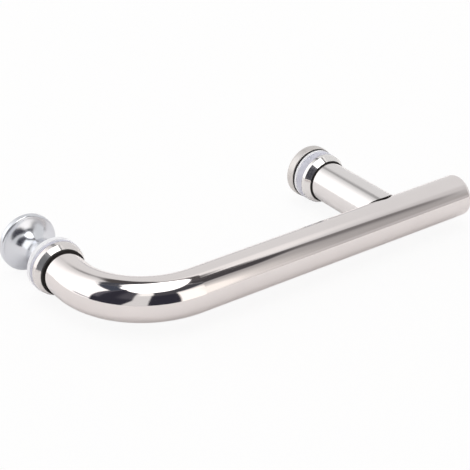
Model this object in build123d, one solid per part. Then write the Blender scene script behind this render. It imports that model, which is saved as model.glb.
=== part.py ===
from build123d import *
import os

# Tubular pull for a glass door. One end of the bar bends back to the glass and is held by a turned knob
# on the far side; the other end overhangs a coped post, which is held by a flat cap.
# Millimetres. Y = 0 is the face of the glass on the user's side, X = 0 the axis of the knob fixing,
# the bar runs along X on the -Y side, and +Y is the far side of the glass. Z is up.

# Bar, bend and post
TUBE_OD = 19.0
TUBE_WALL = 1.5
FIXING_CENTRES = 140.0
BAR_OVERHANG = 40.0
BEND_RADIUS = 36.5
LEG_STRAIGHT = 7.8
TUBE_END_ROUND = 0.2
POST_INSET = 0.1
SADDLE_CLEARANCE = 0.1
COPE_RELIEF = 0.9

# End cap of the bar
BAR_CAP_HEAD = 2.8
BAR_CAP_ROUND = 2.0
BAR_CAP_SPIGOT = 9.0
BAR_CAP_BORE_WALL = 2.0

# Knob fixing, from the tube to the glass
KNOB_SEAL = 1.0
KNOB_COLLAR_RIM = 0.9
KNOB_COLLAR_CONE = 2.3
KNOB_COLLAR_CONE_RISE = 1.35
KNOB_COLLAR_LAND = 2.0
KNOB_COLLAR_LAND_RISE = 0.3
KNOB_WASHER_LIP = 0.15
KNOB_INNER_WASHER = 1.9
KNOB_OUTER_WASHER = 2.9

# Post fixing, from the tube through the glass to the cap
POST_SEAL = 0.3
POST_COLLAR_RIM = 0.65
POST_COLLAR_CONE = 2.8
POST_COLLAR_CONE_RISE = 1.55
POST_COLLAR_LAND = 1.7
POST_COLLAR_LAND_RISE = 0.1
POST_WASHER_LIP = 0.05
POST_INNER_WASHER = 4.1
POST_OUTER_WASHER = 1.6
CAP_SEAL = 0.8

# Edges of the soft rings
SEAL_EDGE = 0.1
WASHER_EDGE = 0.3

# Knob
KNOB_LENGTH = 24.8
KNOB_RADIUS = 13.0
KNOB_RIM_LENGTH = 3.6
KNOB_RIM_ROUND = 1.2
KNOB_RIM_STEP = 1.0
KNOB_NECK_WALL = 1.2
KNOB_NECK_LENGTH = 11.4
KNOB_BASE_LENGTH = 1.4
KNOB_BASE_STEP = 1.6
KNOB_FACE_DOME = 0.6

# Cap of the post fixing
CAP_LENGTH = 4.9
CAP_LIP = 0.6
CAP_BARREL = 0.25
CAP_FRONT_ROUND = 0.4
CAP_BACK_ROUND = 1.4
CAP_SEAL_INSET = 0.35
CAP_BORE_DEPTH = 2.8

# Studs, plugs and the screw that holds the post to the bar
STUD_D = 8.0
STUD_BITE_KNOB = 12.0
THREAD_CLEARANCE = 0.05
STUD_HOLE_CLEARANCE = 0.3
PRESS_CLEARANCE = 0.03
BEND_PLUG_MARGIN = 0.5
POST_PLUG_LENGTH = 12.0
BLOCK_CROWN = 8.0
SCREW_D = 6.0
SCREW_HOLE_CLEARANCE = 0.3
SCREW_HEAD_D = 10.0
SCREW_HEAD_LENGTH = 6.0
SCREW_SOCKET_AF = 5.0
SCREW_SOCKET_DEPTH = 3.0
SCREW_TIP = 1.0
NUT_LENGTH = 16.0
NUT_THICKNESS = 6.0

# Places worked out from the sizes above
TUBE_R = TUBE_OD / 2
TUBE_BORE_R = TUBE_R - TUBE_WALL
POST_R = TUBE_R - POST_INSET
POST_BORE_R = POST_R - TUBE_WALL
STUD_R = STUD_D / 2
SCREW_R = SCREW_D / 2
KNOB_COLLAR_FRONT_R = TUBE_R + KNOB_COLLAR_RIM
KNOB_COLLAR_BACK_R = KNOB_COLLAR_FRONT_R + KNOB_COLLAR_CONE_RISE + KNOB_COLLAR_LAND_RISE
KNOB_COLLAR_Y = -KNOB_OUTER_WASHER - KNOB_INNER_WASHER - KNOB_COLLAR_LAND - KNOB_COLLAR_CONE
LEG_END_Y = KNOB_COLLAR_Y - KNOB_SEAL
BAR_Y = LEG_END_Y - LEG_STRAIGHT - BEND_RADIUS
BAR_END_X = FIXING_CENTRES + BAR_OVERHANG
POST_COLLAR_FRONT_R = POST_R + POST_COLLAR_RIM
POST_COLLAR_BACK_R = POST_COLLAR_FRONT_R + POST_COLLAR_CONE_RISE + POST_COLLAR_LAND_RISE
POST_COLLAR_Y = -POST_INNER_WASHER - POST_COLLAR_LAND - POST_COLLAR_CONE
POST_END_Y = POST_COLLAR_Y - POST_SEAL
CAP_R = POST_COLLAR_BACK_R + CAP_LIP
CAP_Y = POST_OUTER_WASHER + CAP_SEAL
RING_BORE_R = STUD_R + STUD_HOLE_CLEARANCE
BLOCK_SEAT_Y = BAR_Y + TUBE_R + SADDLE_CLEARANCE + BLOCK_CROWN
BAR_WALL_Y = BAR_Y + TUBE_BORE_R - PRESS_CLEARANCE


def turned(outline, x=0.0):
    """A turned piece: a closed outline in radius and Y, spun about the fixing axis at x."""
    return Pos(x, 0, 0) * revolve(make_face(outline), Axis.Y)


def rod(radius, y0, y1, x=0.0):
    """A plain cylinder along Y from y0 to y1, on the axis at x."""
    return Pos(x, (y0 + y1) / 2, 0) * Rot(90, 0, 0) * Cylinder(radius, y1 - y0)


def bar_rod(radius, x0, x1):
    """A plain cylinder along the axis of the bar from x0 to x1."""
    return Pos((x0 + x1) / 2, BAR_Y, 0) * Rot(0, 90, 0) * Cylinder(radius, x1 - x0)


def ring(outer, y0, y1, edge, x):
    """A washer or seal round a stud, with its two outer edges eased by a small chamfer."""
    outline = Polyline(
        (RING_BORE_R, y0), (outer - edge, y0), (outer, y0 + edge), (outer, y1 - edge), (outer - edge, y1),
        (RING_BORE_R, y1), close=True)
    return turned(outline, x)


def pull_tube():
    """Tube from the knob fixing, round the bend and along the bar, with the hole for the post's screw."""
    leg = Line((0, LEG_END_Y), (0, BAR_Y + BEND_RADIUS))
    bend = TangentArc(leg @ 1, (BEND_RADIUS, BAR_Y), tangent=leg % 1)
    bar = Line(bend @ 1, (BAR_END_X - BAR_CAP_HEAD, BAR_Y))
    start = Plane(origin=leg @ 0, x_dir=(1, 0, 0), z_dir=leg % 0)
    tube = sweep(start * (Circle(TUBE_R) - Circle(TUBE_BORE_R)), leg + bend + bar)
    end_edges = tube.edges().group_by(Axis.Y)[-1]
    tube = fillet(end_edges.sort_by(SortBy.RADIUS)[-1], TUBE_END_ROUND)
    screw_hole = rod(SCREW_R + SCREW_HOLE_CLEARANCE, BAR_Y, BAR_Y + TUBE_OD, FIXING_CENTRES)
    return tube - screw_hole


def bar_end_cap():
    """Turned cap with a hollow spigot pressed into the bar."""
    seat_x = BAR_END_X - BAR_CAP_HEAD
    spigot_r = TUBE_BORE_R - PRESS_CLEARANCE
    head = bar_rod(TUBE_R, seat_x, BAR_END_X)
    head = fillet(head.edges().group_by(Axis.X)[-1], BAR_CAP_ROUND)
    spigot = bar_rod(spigot_r, seat_x - BAR_CAP_SPIGOT, seat_x)
    hollow = bar_rod(spigot_r - BAR_CAP_BORE_WALL, seat_x - BAR_CAP_SPIGOT, seat_x)
    return head + (spigot - hollow)


def post_tube():
    """Tube of the post, coped wider than the bar, so that it bears on the crown of the bar."""
    blank = rod(POST_R, BAR_Y, POST_END_Y, FIXING_CENTRES)
    blank = fillet(blank.edges().group_by(Axis.Y)[-1], TUBE_END_ROUND)
    return blank - rod(POST_BORE_R, BAR_Y, POST_END_Y, FIXING_CENTRES) - saddle_cutter(COPE_RELIEF)


def saddle_cutter(relief):
    """Cutter for a cope, which clears the crown of the bar, and with relief its sides by more."""
    radius = TUBE_R + SADDLE_CLEARANCE + relief
    return Pos(0, -relief, 0) * bar_rod(radius, FIXING_CENTRES - TUBE_OD, FIXING_CENTRES + TUBE_OD)


def saddle_block():
    """Block in the bar end of the post: coped below, flat above for the head of the screw."""
    block = rod(POST_BORE_R - PRESS_CLEARANCE, BAR_Y, BLOCK_SEAT_Y, FIXING_CENTRES)
    hole = rod(SCREW_R + SCREW_HOLE_CLEARANCE, BAR_Y, BLOCK_SEAT_Y, FIXING_CENTRES)
    return block - hole - saddle_cutter(0.0)


def post_screw():
    """Socket screw from the saddle block through the wall of the bar into the nut."""
    shank = rod(SCREW_R, BAR_WALL_Y - NUT_THICKNESS - SCREW_TIP, BLOCK_SEAT_Y, FIXING_CENTRES)
    head_end = BLOCK_SEAT_Y + SCREW_HEAD_LENGTH
    head = rod(SCREW_HEAD_D / 2, BLOCK_SEAT_Y, head_end, FIXING_CENTRES)
    socket_plane = Plane(origin=(FIXING_CENTRES, head_end, 0), x_dir=(1, 0, 0), z_dir=(0, -1, 0))
    hexagon = RegularPolygon(SCREW_SOCKET_AF / 2, 6, major_radius=False)
    return shank + head - extrude(socket_plane * hexagon, SCREW_SOCKET_DEPTH)


def bar_nut():
    """Nut inside the bar, curved to the bore so that the screw pulls it up against the wall."""
    bore_r = TUBE_BORE_R - PRESS_CLEARANCE
    blank = bar_rod(bore_r, FIXING_CENTRES - NUT_LENGTH / 2, FIXING_CENTRES + NUT_LENGTH / 2)
    flat_y = BAR_WALL_Y - NUT_THICKNESS
    keep = Pos(FIXING_CENTRES, (flat_y + BAR_WALL_Y) / 2, 0) * Box(NUT_LENGTH, NUT_THICKNESS, TUBE_OD)
    thread = rod(SCREW_R + THREAD_CLEARANCE, flat_y, BAR_WALL_Y, FIXING_CENTRES)
    return (blank & keep) - thread


def threaded_plug(bore_r, end_y, length, x):
    """Insert pressed into the end of a tube and tapped through for a stud."""
    plug = rod(bore_r - PRESS_CLEARANCE, end_y - length, end_y, x)
    return plug - rod(STUD_R + THREAD_CLEARANCE, end_y - length, end_y, x)


def collar(front_r, front_y, cone, cone_rise, land, land_rise, x):
    """Turned collar: a cone that widens from the tube, then an almost straight land."""
    cone_r = front_r + cone_rise
    land_y = front_y + cone
    back_y = land_y + land
    outline = Polyline(
        (RING_BORE_R, front_y), (front_r, front_y), (cone_r, land_y), (cone_r + land_rise, back_y),
        (RING_BORE_R, back_y), close=True)
    return turned(outline, x)


def knob():
    """Trumpet knob: small base, narrow neck, concave flare to a rimmed disc with a slightly domed face."""
    neck_r = STUD_R + KNOB_NECK_WALL
    base_r = neck_r + KNOB_BASE_STEP
    neck_y = KNOB_BASE_LENGTH + KNOB_NECK_LENGTH
    end_y = KNOB_LENGTH
    rim_y = end_y - KNOB_RIM_LENGTH
    flare_r = KNOB_RADIUS - KNOB_RIM_STEP
    face_r = KNOB_RADIUS - KNOB_RIM_ROUND
    below = Polyline(
        (0, 0), (base_r, 0), (base_r, KNOB_BASE_LENGTH), (neck_r, KNOB_BASE_LENGTH), (neck_r, neck_y))
    flare = TangentArc((neck_r, neck_y), (flare_r, rim_y), tangent=(0, 1))
    front_round = TangentArc((KNOB_RADIUS, rim_y + KNOB_RIM_STEP), flare @ 1, tangent=(0, -1))
    edge = Line((KNOB_RADIUS, rim_y + KNOB_RIM_STEP), (KNOB_RADIUS, end_y - KNOB_RIM_ROUND))
    back_round = TangentArc(edge @ 1, (face_r, end_y), tangent=(0, 1))
    face = TangentArc((0, end_y + KNOB_FACE_DOME), (face_r, end_y), tangent=(1, 0))
    body = turned(below + flare + front_round + edge + back_round + face + Line(face @ 0, (0, 0)))
    return body - rod(STUD_R + THREAD_CLEARANCE, 0, STUD_BITE_KNOB)


def fixing_cap():
    """Round cap with a slightly swelling side and eased edges, tapped from the front for the stud."""
    end_y = CAP_Y + CAP_LENGTH
    edge_r = CAP_R - CAP_BARREL
    side = ThreePointArc((edge_r, CAP_Y), (CAP_R, CAP_Y + CAP_LENGTH / 2), (edge_r, end_y))
    disc = turned(side + Polyline((edge_r, end_y), (0, end_y), (0, CAP_Y), (edge_r, CAP_Y)), FIXING_CENTRES)
    disc = fillet(disc.edges().group_by(Axis.Y)[-1], CAP_BACK_ROUND)
    disc = fillet(disc.edges().group_by(Axis.Y)[0], CAP_FRONT_ROUND)
    return disc - rod(STUD_R + THREAD_CLEARANCE, CAP_Y, CAP_Y + CAP_BORE_DEPTH, FIXING_CENTRES)


knob_washer_r = KNOB_COLLAR_BACK_R + KNOB_WASHER_LIP
post_washer_r = POST_COLLAR_BACK_R + POST_WASHER_LIP
bend_plug_length = LEG_STRAIGHT - BEND_PLUG_MARGIN

pieces = {
    "pull_tube": pull_tube(),
    "bar_end_cap": bar_end_cap(),
    "post_tube": post_tube(),
    "saddle_block": saddle_block(),
    "post_screw": post_screw(),
    "bar_nut": bar_nut(),
    "bend_plug": threaded_plug(TUBE_BORE_R, LEG_END_Y, bend_plug_length, 0.0),
    "post_plug": threaded_plug(POST_BORE_R, POST_END_Y, POST_PLUG_LENGTH, FIXING_CENTRES),
    "knob_stud": rod(STUD_R, LEG_END_Y - bend_plug_length, STUD_BITE_KNOB),
    "post_stud": rod(STUD_R, POST_END_Y - POST_PLUG_LENGTH, CAP_Y + CAP_BORE_DEPTH, FIXING_CENTRES),
    "knob_seal_ring": ring(KNOB_COLLAR_FRONT_R, LEG_END_Y, KNOB_COLLAR_Y, SEAL_EDGE, 0.0),
    "knob_collar": collar(
        KNOB_COLLAR_FRONT_R, KNOB_COLLAR_Y, KNOB_COLLAR_CONE, KNOB_COLLAR_CONE_RISE,
        KNOB_COLLAR_LAND, KNOB_COLLAR_LAND_RISE, 0.0),
    "knob_inner_washer": ring(
        knob_washer_r, -KNOB_OUTER_WASHER - KNOB_INNER_WASHER, -KNOB_OUTER_WASHER, WASHER_EDGE, 0.0),
    "knob_outer_washer": ring(knob_washer_r, -KNOB_OUTER_WASHER, 0.0, WASHER_EDGE, 0.0),
    "knob": knob(),
    "post_seal_ring": ring(POST_COLLAR_FRONT_R, POST_END_Y, POST_COLLAR_Y, SEAL_EDGE, FIXING_CENTRES),
    "post_collar": collar(
        POST_COLLAR_FRONT_R, POST_COLLAR_Y, POST_COLLAR_CONE, POST_COLLAR_CONE_RISE,
        POST_COLLAR_LAND, POST_COLLAR_LAND_RISE, FIXING_CENTRES),
    "post_inner_washer": ring(post_washer_r, -POST_INNER_WASHER, 0.0, WASHER_EDGE, FIXING_CENTRES),
    "post_outer_washer": ring(post_washer_r, 0.0, POST_OUTER_WASHER, WASHER_EDGE, FIXING_CENTRES),
    "cap_seal_ring": ring(CAP_R - CAP_SEAL_INSET, POST_OUTER_WASHER, CAP_Y, SEAL_EDGE, FIXING_CENTRES),
    "fixing_cap": fixing_cap(),
}

os.makedirs("parts", exist_ok=True)
for name, shape in pieces.items():
    export_step(shape, f"parts/{name}.step")
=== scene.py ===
import math

import bpy
import numpy as np
from mathutils import Matrix, Vector


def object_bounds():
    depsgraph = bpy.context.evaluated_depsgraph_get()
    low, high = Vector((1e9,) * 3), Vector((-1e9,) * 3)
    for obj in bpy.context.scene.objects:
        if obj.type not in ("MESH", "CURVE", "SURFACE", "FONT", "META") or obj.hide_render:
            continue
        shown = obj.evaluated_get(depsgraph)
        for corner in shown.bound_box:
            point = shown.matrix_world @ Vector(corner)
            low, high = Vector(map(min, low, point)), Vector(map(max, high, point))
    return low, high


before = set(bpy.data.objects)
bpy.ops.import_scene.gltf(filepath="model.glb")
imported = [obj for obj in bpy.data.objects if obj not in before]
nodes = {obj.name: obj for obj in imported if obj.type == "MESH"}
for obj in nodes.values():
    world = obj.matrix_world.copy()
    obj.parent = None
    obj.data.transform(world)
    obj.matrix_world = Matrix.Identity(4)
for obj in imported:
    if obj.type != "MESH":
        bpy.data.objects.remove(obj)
cad_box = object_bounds()

# Pull tube: one length of 19 mm stainless tube, bent back at one end to meet the glass, with a cap in the
# other. It is drawn, bent over a former and buffed to a mirror. The wheel leaves a faint haze,
# and hairlines round the bar.
TUBE_GLOSS = 0.035
TUBE_HAIRLINES = (2400.0, 90.0, 90.0)
TUBE_DEEP = (0.789, 0.742, 0.730)
TUBE_PALE = (0.834, 0.787, 0.775)
HAZE_PATCHES = 70.0
HAZE_DETAIL = 3.0
HAZE_DULLING = 0.03
HAIRLINE_DETAIL = 1.0
HAIRLINE_DULLING = 0.02
HAIRLINE_STRENGTH = 0.03
HAIRLINE_DEPTH = 0.00002


class Wire:
    """A socket in a node tree. A sum written with wires and numbers adds the Math nodes that work it out."""

    def __init__(self, tree, socket):
        self.tree = tree
        self.socket = socket

    def feed(self, socket, value):
        """Links a wire to a socket of another node, or sets a plain value there."""
        if isinstance(value, Wire):
            self.tree.links.new(value.socket, socket)
        elif socket.type == "RGBA":
            socket.default_value = (*value, 1.0)
        else:
            socket.default_value = value

    def node(self, kind, settings, sockets, output=0):
        """A node of any kind: its settings are set first, then its sockets get values or links."""
        made = self.tree.nodes.new(kind)
        for name, value in settings.items():
            setattr(made, name, value)
        for name, value in sockets.items():
            self.feed(made.inputs[name], value)
        return Wire(self.tree, made.outputs[output])

    def __add__(self, other):
        return self.node("ShaderNodeMath", {"operation": "ADD"}, {0: self, 1: other})

    def __mul__(self, other):
        return self.node("ShaderNodeMath", {"operation": "MULTIPLY"}, {0: self, 1: other})

    __radd__ = __add__
    __rmul__ = __mul__

    def blend(self, deep, pale):
        """A colour between two, by this wire's value from 0 to 1."""
        return self.node("ShaderNodeMix", {"data_type": "RGBA"}, {0: self, 6: deep, 7: pale}, 2)

    def noise(self, scale, detail):
        """Soft random patches on this wire's coordinates, from 0 to 1, scale of them to a metre."""
        return self.node("ShaderNodeTexNoise", {}, {"Vector": self, "Scale": scale, "Detail": detail})

    def stretched(self, along):
        """This wire's coordinates, multiplied along X, Y and Z."""
        return self.node("ShaderNodeVectorMath", {"operation": "MULTIPLY"}, {0: self, 1: along})

    def bump(self, strength, depth):
        """A surface normal that follows this wire's value as a height of up to depth metres."""
        return self.node("ShaderNodeBump", {}, {"Height": self, "Strength": strength, "Distance": depth})


def new_material(name):
    """An empty Principled material: its shader node, and the piece's own coordinates as a wire."""
    material = bpy.data.materials.new(name)
    material.use_nodes = True
    tree = material.node_tree
    shader = tree.nodes["Principled BSDF"]
    coordinates = tree.nodes.new("ShaderNodeTexCoord")
    return material, shader, Wire(tree, coordinates.outputs["Object"])


def dress(material, *names):
    """Gives CAD nodes this material in place of the one that they came with."""
    for name in names:
        nodes[name].data.materials.clear()
        nodes[name].data.materials.append(material)


def mirror_steel(name, gloss, hairlines, deep, pale):
    """Buffed stainless, in a colour that drifts between deep and pale.

    gloss is the least roughness, and hairlines says how many to a metre lie along X, Y and Z.
    """
    material, shader, place = new_material(name)
    haze = place.noise(HAZE_PATCHES, HAZE_DETAIL)
    lines = place.stretched(hairlines).noise(1.0, HAIRLINE_DETAIL)
    place.feed(shader.inputs["Base Color"], haze.blend(deep, pale))
    place.feed(shader.inputs["Roughness"], gloss + haze * HAZE_DULLING + lines * HAIRLINE_DULLING)
    place.feed(shader.inputs["Normal"], lines.bump(HAIRLINE_STRENGTH, HAIRLINE_DEPTH))
    shader.inputs["Metallic"].default_value = 1.0
    return material


material = mirror_steel("tube_steel", TUBE_GLOSS, TUBE_HAIRLINES, TUBE_DEEP, TUBE_PALE)
dress(material, "pull_tube", "bar_end_cap")

# Post: a short length of the same tube, coped to sit on the back of the bar and drawn down by a hidden screw.
# It is buffed before it is fitted, with the hairlines round its own axis, and less brightly than the bar.
POST_GLOSS = 0.12
POST_HAIRLINES = (90.0, 2400.0, 90.0)
POST_DEEP = (0.780, 0.750, 0.742)
POST_PALE = (0.825, 0.795, 0.787)
material = mirror_steel("post_steel", POST_GLOSS, POST_HAIRLINES, POST_DEEP, POST_PALE)
dress(material, "post_tube")

# Collars: cones turned from stainless bar, threaded on the studs between the tubes and the washers.
# They are buffed on the lathe, so their hairlines run round the fixing axis, and lacquered,
# which veils the dark parts of what they mirror.
COLLAR_GLOSS = 0.03
TURNED_HAIRLINES = (60.0, 3000.0, 60.0)
LACQUER_ROUGHNESS = 0.4
COLLARS = (
    # node; refractive index of its lacquer; deep and pale colour of its steel, with painted shade on the knob
    # collar
    # The knob collar's colours are darker and warmer than the post collar's: painted shade for the dimmer,
    # tan light that it mirrors.
    ("knob_collar", 3.5, (0.66, 0.605, 0.585), (0.70, 0.645, 0.625)),
    ("post_collar", 2.1, (0.775, 0.750, 0.735), (0.820, 0.795, 0.780)),
)
for node, lacquer, deep, pale in COLLARS:
    material = mirror_steel(node + "_steel", COLLAR_GLOSS, TURNED_HAIRLINES, deep, pale)
    shader = material.node_tree.nodes["Principled BSDF"]
    shader.inputs["Coat Weight"].default_value = 1.0
    shader.inputs["Coat Roughness"].default_value = LACQUER_ROUGHNESS
    shader.inputs["Coat IOR"].default_value = lacquer
    dress(material, node)

# Cap of the post fixing: a low round cap turned from the same bar and screwed on the stud from the far side.
# It is tumbled rather than buffed, so it is duller and darker than the collars.
CAP_GLOSS = 0.40
CAP_DEEP = (0.65, 0.62, 0.60)
CAP_PALE = (0.71, 0.68, 0.66)
material = mirror_steel("cap_steel", CAP_GLOSS, TURNED_HAIRLINES, CAP_DEEP, CAP_PALE)
dress(material, "fixing_cap")

# Knob: cast in zinc, turned to a trumpet and chromed, then screwed on its stud from the far side.
# The plating is cooler in colour than the steel, and the casting below leaves it faintly rippled.
KNOB_GLOSS = 0.18
KNOB_DEEP = (0.700, 0.712, 0.750)
KNOB_PALE = (0.758, 0.771, 0.810)
RIPPLE_PATCHES = 160.0
RIPPLE_DETAIL = 2.0
RIPPLE_DULLING = 0.06
RIPPLE_STRENGTH = 0.05
RIPPLE_DEPTH = 0.0002
material, shader, place = new_material("knob_chrome")
ripple = place.noise(RIPPLE_PATCHES, RIPPLE_DETAIL)
place.feed(shader.inputs["Base Color"], ripple.blend(KNOB_DEEP, KNOB_PALE))
place.feed(shader.inputs["Roughness"], KNOB_GLOSS + ripple * RIPPLE_DULLING)
place.feed(shader.inputs["Normal"], ripple.bump(RIPPLE_STRENGTH, RIPPLE_DEPTH))
shader.inputs["Metallic"].default_value = 1.0
dress(material, "knob")

# Washers: soft plastic, punched from sheet, that keep the metal off the glass and are pinched by the studs.
# The two next to the collars look lavender at the edge and let some light through,
# the two beyond them are almost white.
PLASTIC_GLOSS = 0.22
PLASTIC_IOR = 1.46
CLOUD_PATCHES = 300.0
CLOUD_DETAIL = 3.0
CLOUD_DULLING = 0.15
CLOUD_STRENGTH = 0.15
CLOUD_DEPTH = 0.0001
LAVENDER_DEEP = (0.78, 0.78, 0.90)
LAVENDER_PALE = (0.87, 0.87, 0.96)
LAVENDER_CLEARNESS = 0.25
WHITE_DEEP = (0.96, 0.96, 0.99)
WHITE_PALE = (0.99, 0.99, 1.0)
WHITE_CLEARNESS = 0.05


def washer_plastic(name, deep, pale, clearness):
    """Plastic with a cloudy cut edge, from deep to pale. clearness is the share of light that passes."""
    material, shader, place = new_material(name)
    cloud = place.noise(CLOUD_PATCHES, CLOUD_DETAIL)
    place.feed(shader.inputs["Base Color"], cloud.blend(deep, pale))
    place.feed(shader.inputs["Roughness"], PLASTIC_GLOSS + cloud * CLOUD_DULLING)
    place.feed(shader.inputs["Normal"], cloud.bump(CLOUD_STRENGTH, CLOUD_DEPTH))
    shader.inputs["Transmission Weight"].default_value = clearness
    shader.inputs["IOR"].default_value = PLASTIC_IOR
    return material


lavender = washer_plastic("lavender_plastic", LAVENDER_DEEP, LAVENDER_PALE, LAVENDER_CLEARNESS)
dress(lavender, "knob_inner_washer", "post_inner_washer")
white = washer_plastic("pale_plastic", WHITE_DEEP, WHITE_PALE, WHITE_CLEARNESS)
dress(white, "knob_outer_washer", "post_outer_washer")

# Seal rings: thin black rings between the tubes and the collars and under the cap.
# Their black is painted reflection, standing in for the dark that the flat faces of the collars and the cap
# mirror there.
# They keep a dull skin with a fine grain.
SEAL_GLOSS = 0.45
SEAL_SHINE = 0.3
SEAL_PAINTED_DARK_DEEP = (0.010, 0.009, 0.009)
SEAL_PAINTED_DARK_PALE = (0.022, 0.019, 0.018)
GRAIN_PATCHES = 2500.0
GRAIN_DETAIL = 3.0
GRAIN_DULLING = 0.2
GRAIN_STRENGTH = 0.2
GRAIN_DEPTH = 0.00005
material, shader, place = new_material("seal_painted_reflection")
grain = place.noise(GRAIN_PATCHES, GRAIN_DETAIL)
# The near-black colour is painted reflection of the dark that the flat faces mirror there.
place.feed(shader.inputs["Base Color"], grain.blend(SEAL_PAINTED_DARK_DEEP, SEAL_PAINTED_DARK_PALE))
place.feed(shader.inputs["Roughness"], SEAL_GLOSS + grain * GRAIN_DULLING)
place.feed(shader.inputs["Normal"], grain.bump(GRAIN_STRENGTH, GRAIN_DEPTH))
shader.inputs["Specular IOR Level"].default_value = SEAL_SHINE
dress(material, "knob_seal_ring", "post_seal_ring", "cap_seal_ring")

# Inner pieces: the studs, plugs, saddle block, screw and nut that clamp the glass and hold the post.
# They are plain steel as it leaves the lathe, with the marks of the tool, and stay hidden in the tubes.
MACHINED_GLOSS = 0.28
MACHINED_DEEP = (0.36, 0.35, 0.34)
MACHINED_PALE = (0.50, 0.49, 0.48)
TOOL_MARKS = (200.0, 4000.0, 200.0)
TOOL_MARK_DETAIL = 2.0
TOOL_MARK_DULLING = 0.15
TOOL_MARK_STRENGTH = 0.3
TOOL_MARK_DEPTH = 0.00005
material, shader, place = new_material("machined_steel")
turning = place.stretched(TOOL_MARKS).noise(1.0, TOOL_MARK_DETAIL)
place.feed(shader.inputs["Base Color"], turning.blend(MACHINED_DEEP, MACHINED_PALE))
place.feed(shader.inputs["Roughness"], MACHINED_GLOSS + turning * TOOL_MARK_DULLING)
place.feed(shader.inputs["Normal"], turning.bump(TOOL_MARK_STRENGTH, TOOL_MARK_DEPTH))
shader.inputs["Metallic"].default_value = 1.0
dress(material, "knob_stud", "post_stud", "bend_plug", "post_plug")
dress(material, "saddle_block", "post_screw", "bar_nut")

# Floor: a wide round sheet of white paper that the handle lies on, with its soft shadow.
# To the camera it is overexposed almost to plain white, while the metal mirrors more of the shadow.
FLOOR_RADIUS = 3.0
FLOOR_RINGS = 6
FLOOR_SPOKES = 96
PAPER_ROUGHNESS = 0.9
PAPER_DEEP = (0.955, 0.935, 0.925)
PAPER_PALE = (0.985, 0.965, 0.955)
FIBRE_PATCHES = 400.0
FIBRE_DETAIL = 3.0
WHITE_TO_CAMERA = 0.90
WHITE_IN_METAL = 0.15
low, high = cad_box
centre_x = (low.x + high.x) / 2
centre_y = (low.y + high.y) / 2


def surface(name, grid):
    """A mesh from a grid of points, rows by columns, with each row joined up into a ring."""
    rows, columns = grid.shape[:2]
    across = np.arange(columns)
    row_starts = np.arange(rows - 1)[:, None] * columns
    first = (row_starts + across).ravel()
    second = (row_starts + (across + 1) % columns).ravel()
    faces = np.stack([first, second, second + columns, first + columns], axis=1)
    mesh = bpy.data.meshes.new(name)
    mesh.from_pydata(grid.reshape(-1, 3).tolist(), [], faces.tolist())
    thing = bpy.data.objects.new(name, mesh)
    bpy.context.scene.collection.objects.link(thing)
    return thing


def disc(radius, height):
    """Points of a flat disc about the object: rings whose radius grows evenly from 0, all at one height."""
    r = radius * np.linspace(0.0, 1.0, FLOOR_RINGS)[:, None]
    turn = np.linspace(0.0, 2.0 * np.pi, FLOOR_SPOKES, endpoint=False)[None, :]
    x = centre_x + r * np.sin(turn)
    y = centre_y + r * np.cos(turn)
    return np.stack([x, y, np.full_like(x, height)], axis=-1)


floor = surface("floor", disc(FLOOR_RADIUS, low.z))
material, shader, place = new_material("floor_paper")
tree = material.node_tree
fibre = place.noise(FIBRE_PATCHES, FIBRE_DETAIL)
place.feed(shader.inputs["Base Color"], fibre.blend(PAPER_DEEP, PAPER_PALE))
shader.inputs["Roughness"].default_value = PAPER_ROUGHNESS
shader.inputs["Specular IOR Level"].default_value = 0.0
ray = tree.nodes.new("ShaderNodeLightPath")
in_metal = Wire(tree, ray.outputs["Is Glossy Ray"]) + Wire(tree, ray.outputs["Is Transmission Ray"])
whiteness = Wire(tree, ray.outputs["Is Camera Ray"]) * WHITE_TO_CAMERA + in_metal * WHITE_IN_METAL
paper = Wire(tree, shader.outputs["BSDF"])
plain_white = place.node("ShaderNodeEmission", {}, {"Color": (1.0, 1.0, 1.0), "Strength": 1.0})
mixed = place.node("ShaderNodeMixShader", {}, {0: whiteness, 1: paper, 2: plain_white})
place.feed(tree.nodes["Material Output"].inputs["Surface"], mixed)
floor.data.materials.append(material)

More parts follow.
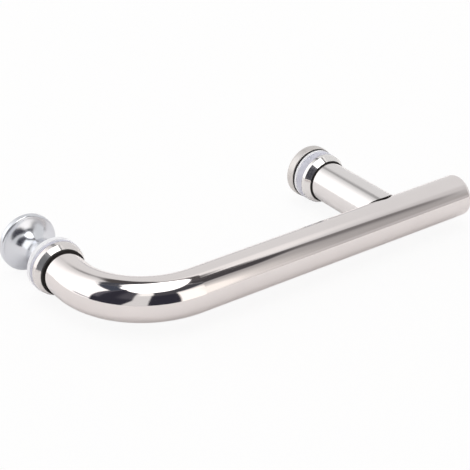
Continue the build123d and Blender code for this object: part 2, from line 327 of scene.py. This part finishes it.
# Light tent: a white fabric dome round the handle, lit from outside, with open doorways on the camera's side.
# The metal mirrors it: bright sheets at the left and the front, a greyer wall at the right,
# and a dark gap between them and the roof.
TENT_RADIUS = 2.9
TENT_ROWS = 151
TENT_COLUMNS = 600
TENT_FOOT = -0.6
WALL = (0.82, 0.82, 0.82)
ROOF = (2.5, 2.5, 2.5)
ROOF_EDGE = 61.0
ROOF_SOFT = 0.7
HEAD = 60.0
UNDER_FLOOR = -4.0
rises = np.linspace(TENT_FOOT, 90.0, TENT_ROWS)
bearings = np.linspace(-180.0, 180.0, TENT_COLUMNS, endpoint=False)
rise, bearing = np.meshgrid(rises, bearings, indexing="ij")
SHEETS = (
    # colour; left side, right side; bottom edge, top edge; softness of the left side, right side and edges
    # All in degrees. A side that leans has a bearing at the floor and one at the head,
    # and an edge that slopes has a rise at the left and one at the right.
    # At the left a bright sheet with a grey strip at its foot, and a duller patch behind.
    ((1.40, 1.40, 1.40), -87.6, -18.0, UNDER_FLOOR, 61.0, (0.8, 18.0, 1.5)),
    ((0.40, 0.40, 0.42), -89.0, -69.0, (2.5, 3.0), (6.0, 7.0), (1.0, 4.0, 1.2)),
    ((0.66, 0.66, 0.67), 10.0, 36.3, UNDER_FLOOR, 8.0, (8.0, 1.5, 4.0)),
    # At the right the lighter head of the wall, and a greyer stretch with a lighter foot.
    ((1.03, 1.02, 1.01), 40.0, 112.0, 56.5, 64.0, (10.0, 4.0, 3.0)),
    ((0.70, 0.69, 0.69), 112.0, 140.0, 30.0, 53.0, (10.0, 4.0, 6.0)),
    ((0.467, 0.455, 0.449), 134.0, 160.0, UNDER_FLOOR, 46.0, (5.0, 2.0, 3.0)),
    ((0.60, 0.58, 0.58), 120.0, 160.0, UNDER_FLOOR, 10.5, (8.0, 2.0, 2.0)),
    # At the front a bright, warm sheet with a crisper edge inside its soft one.
    ((1.40, 1.35, 1.30), (153.5, 145.0), 186.0, UNDER_FLOOR, 44.0, (7.5, 1.0, 5.0)),
    ((1.27, 1.22, 1.16), (152.9, 144.9), 157.0, 3.0, 33.0, (0.5, 2.0, 5.0)),
    # The two doorways, dim inside and a little lighter at the head, and the pillar between them.
    ((0.035, 0.034, 0.048), (-179.0, -181.5), (-145.2, -151.6), UNDER_FLOOR, 60.5, (1.5, 1.2, 0.8)),
    ((0.085, 0.083, 0.095), (-179.0, -181.5), (-145.2, -151.6), 44.0, 60.5, (1.5, 1.2, 5.0)),
    ((0.035, 0.034, 0.048), (-131.0, -129.5), (-87.6, -88.6), UNDER_FLOOR, (59.5, 74.0), (1.5, 0.8, 0.8)),
    ((0.090, 0.088, 0.105), (-131.0, -129.5), -114.0, 30.0, (59.5, 65.0), (1.5, 6.0, 8.0)),
    ((0.130, 0.125, 0.150), -95.0, (-87.6, -88.6), 20.0, 72.0, (3.0, 0.8, 5.0)),
    ((0.80, 0.80, 0.80), -146.0, (-120.5, -145.0), UNDER_FLOOR, 40.0, (1.5, 1.5, 4.0)),
    ((1.25, 1.25, 1.22), (-149.0, -153.0), (-137.0, -134.0), 47.0, 61.0, (1.5, 3.0, 4.0)),
    # The dark gap under the roof, from the left round the back to the front, with tongues that hang down.
    ((0.065, 0.075, 0.100), -92.0, -40.0, (55.5, 61.6), (70.5, 75.5), (1.5, 0.5, 1.2)),
    ((0.075, 0.080, 0.095), -40.0, 36.0, (61.6, 60.0), (75.5, 66.0), (0.5, 6.0, 2.0)),
    ((0.36, 0.36, 0.36), 4.0, 16.0, 40.0, 50.0, (5.0, 5.0, 5.0)),
    ((0.085, 0.080, 0.080), (83.0, -2.0), (-10.0, 32.5), 38.0, 64.0, (4.5, 2.5, 2.0)),
    ((0.38, 0.37, 0.37), 34.0, 62.0, (60.5, 61.7), (65.5, 67.5), (5.0, 3.0, 1.2)),
    ((0.085, 0.080, 0.080), 61.0, 97.0, (62.1, 63.0), (67.5, 69.6), (3.0, 0.5, 0.8)),
    ((0.22, 0.21, 0.21), 115.0, 136.0, (60.5, 25.5), (72.5, 41.5), (3.0, 5.0, 3.0)),
    ((0.075, 0.070, 0.075), 97.0, 112.0, (63.0, 58.2), (69.6, 69.8), (0.5, 0.5, 0.9)),
    ((0.075, 0.070, 0.075), 112.0, 138.0, (59.2, 43.2), (69.8, 68.0), (0.5, 2.0, 1.1)),
    ((0.075, 0.075, 0.085), 138.0, 182.0, (47.5, 47.0), (68.0, 61.0), (3.0, 1.0, 2.0)),
)


def dome(radius):
    """Points of a half sphere over the floor: reach = radius * cos(rise), height = radius * sin(rise).

    Bearing 0 is along Y, and it grows towards X.
    """
    reach = radius * np.cos(np.radians(rise))
    x = centre_x + reach * np.sin(np.radians(bearing))
    y = centre_y + reach * np.cos(np.radians(bearing))
    return np.stack([x, y, radius * np.sin(np.radians(rise))], axis=-1)


def above(value, edge, soft):
    """0 below an edge and 1 above it, by a smooth step, t * t * (3 - 2 t), that reaches soft to each side."""
    t = np.clip((value - edge) / (2.0 * soft) + 0.5, 0.0, 1.0)
    return t * t * (3.0 - 2.0 * t)


def sheet_mask(left, right, bottom, top, soft):
    """1 inside a sheet and 0 outside: right of its left side, left of its right side, and between its edges.

    The bearing is counted from the point opposite the sheet, so that a sheet can pass 180 degrees.
    """
    left, right, bottom, top = (np.broadcast_to(line, 2) for line in (left, right, bottom, top))
    opposite = (left[0] + right[0]) / 2.0 - 180.0
    turn = (bearing - opposite) % 360.0 + opposite
    up = rise / HEAD
    across = (turn - left[0]) / (right[0] - left[0])
    starts = above(turn, left[0] + up * (left[1] - left[0]), soft[0])
    ends = above(turn, right[0] + up * (right[1] - right[0]), soft[1])
    opens = above(rise, bottom[0] + across * (bottom[1] - bottom[0]), soft[2])
    closes = above(rise, top[0] + across * (top[1] - top[0]), soft[2])
    return starts * (1.0 - ends) * opens * (1.0 - closes)


glow = WALL + above(rise, ROOF_EDGE, ROOF_SOFT)[..., None] * np.subtract(ROOF, WALL)
for colour, left, right, bottom, top, soft in SHEETS:
    glow += sheet_mask(left, right, bottom, top, soft)[..., None] * (colour - glow)
glow_and_alpha = np.concatenate([glow, np.ones_like(glow[..., :1])], axis=-1)

tent = surface("light_tent", dome(TENT_RADIUS))
tent.visible_camera = False
attribute = tent.data.color_attributes.new("glow", "FLOAT_COLOR", "POINT")
attribute.data.foreach_set("color", glow_and_alpha.ravel())
material, shader, place = new_material("tent_fabric")
tree = material.node_tree
tree.nodes.remove(shader)
fabric = place.node("ShaderNodeAttribute", {"attribute_name": "glow"}, {}, "Color")
light = place.node("ShaderNodeEmission", {}, {"Color": fabric, "Strength": 1.0})
place.feed(tree.nodes["Material Output"].inputs["Surface"], light)
tent.data.materials.append(material)

# Room: plain white beyond the tent, which only the camera sees, past the edge of the floor.
# The tent stands between it and the handle, so it adds no light.
world = bpy.data.worlds.new("room")
world.use_nodes = True
world.node_tree.nodes["Background"].inputs["Color"].default_value = (1.0, 1.0, 1.0, 1.0)
bpy.context.scene.world = world

# Camera: the photograph's view, from the left and above the user's side, with a long lens and no blur.
# Its place, roll and small shift were fitted to the outline of the handle in the picture.
CAMERA_TARGET = Vector((0.070, -0.0344, 0.0))
CAMERA_BEARING = math.radians(-33.89)
CAMERA_RISE = math.radians(29.51)
CAMERA_ROLL = math.radians(-1.23)
CAMERA_DISTANCE = 0.60094
CAMERA_NEAR = 0.01
PICTURE_SIZE = 470.0
FOCAL_PIXELS = 1400.0
AXIS_PIXEL = (235.08, 246.97)
back = Vector((
    math.sin(CAMERA_BEARING) * math.cos(CAMERA_RISE),
    -math.cos(CAMERA_BEARING) * math.cos(CAMERA_RISE),
    math.sin(CAMERA_RISE)))
level_x = (-back).cross(Vector((0.0, 0.0, 1.0))).normalized()
level_y = back.cross(level_x)
camera_x = math.cos(CAMERA_ROLL) * level_x + math.sin(CAMERA_ROLL) * level_y
camera_y = back.cross(camera_x)
camera_axes = Matrix((camera_x, camera_y, back)).transposed().to_4x4()
camera_data = bpy.data.cameras.new("camera")
camera_data.lens = camera_data.sensor_width * FOCAL_PIXELS / PICTURE_SIZE
camera_data.shift_x = (PICTURE_SIZE / 2 - AXIS_PIXEL[0]) / PICTURE_SIZE
camera_data.shift_y = (AXIS_PIXEL[1] - PICTURE_SIZE / 2) / PICTURE_SIZE
camera_data.clip_start = CAMERA_NEAR
camera = bpy.data.objects.new("camera", camera_data)
camera.matrix_world = Matrix.Translation(CAMERA_TARGET + back * CAMERA_DISTANCE) @ camera_axes
bpy.context.scene.collection.objects.link(camera)
bpy.context.scene.camera = camera
bpy.context.scene.view_settings.view_transform = "Standard"
